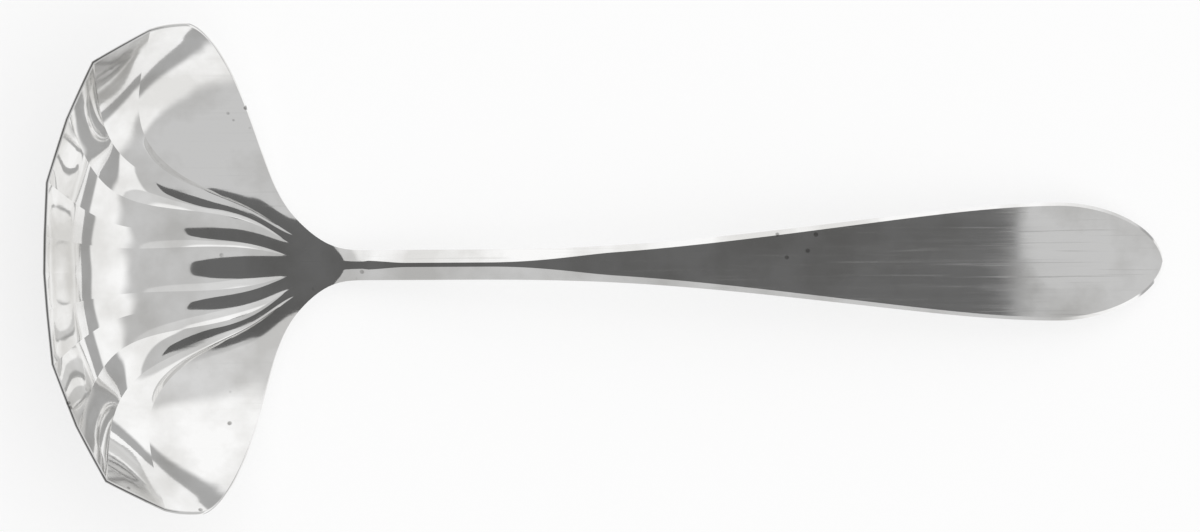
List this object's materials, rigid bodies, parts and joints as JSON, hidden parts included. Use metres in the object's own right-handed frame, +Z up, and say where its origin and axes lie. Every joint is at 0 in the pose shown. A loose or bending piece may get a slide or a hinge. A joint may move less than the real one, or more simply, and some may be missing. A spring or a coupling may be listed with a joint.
{
  "type": "gravy ladle",
  "caption": "Small serving ladle: a wide fluted bowl with a scalloped rim, a slim neck and an arched, tapering handle with a softly pointed end.",
  "frame": {"origin": "middle of the box around the ladle, on the table that it lies on", "axes": "+X along the ladle from the bowl to the handle's tip, +Y across the bowl, +Z up from the table"},
  "size_m": [0.178, 0.0782, 0.0198],
  "materials": {
    "silver": "polished silver with fine scratches from use"
  },
  "bodies": {
    "root": {"ladle": "silver"}
  },
  "joints": []
}
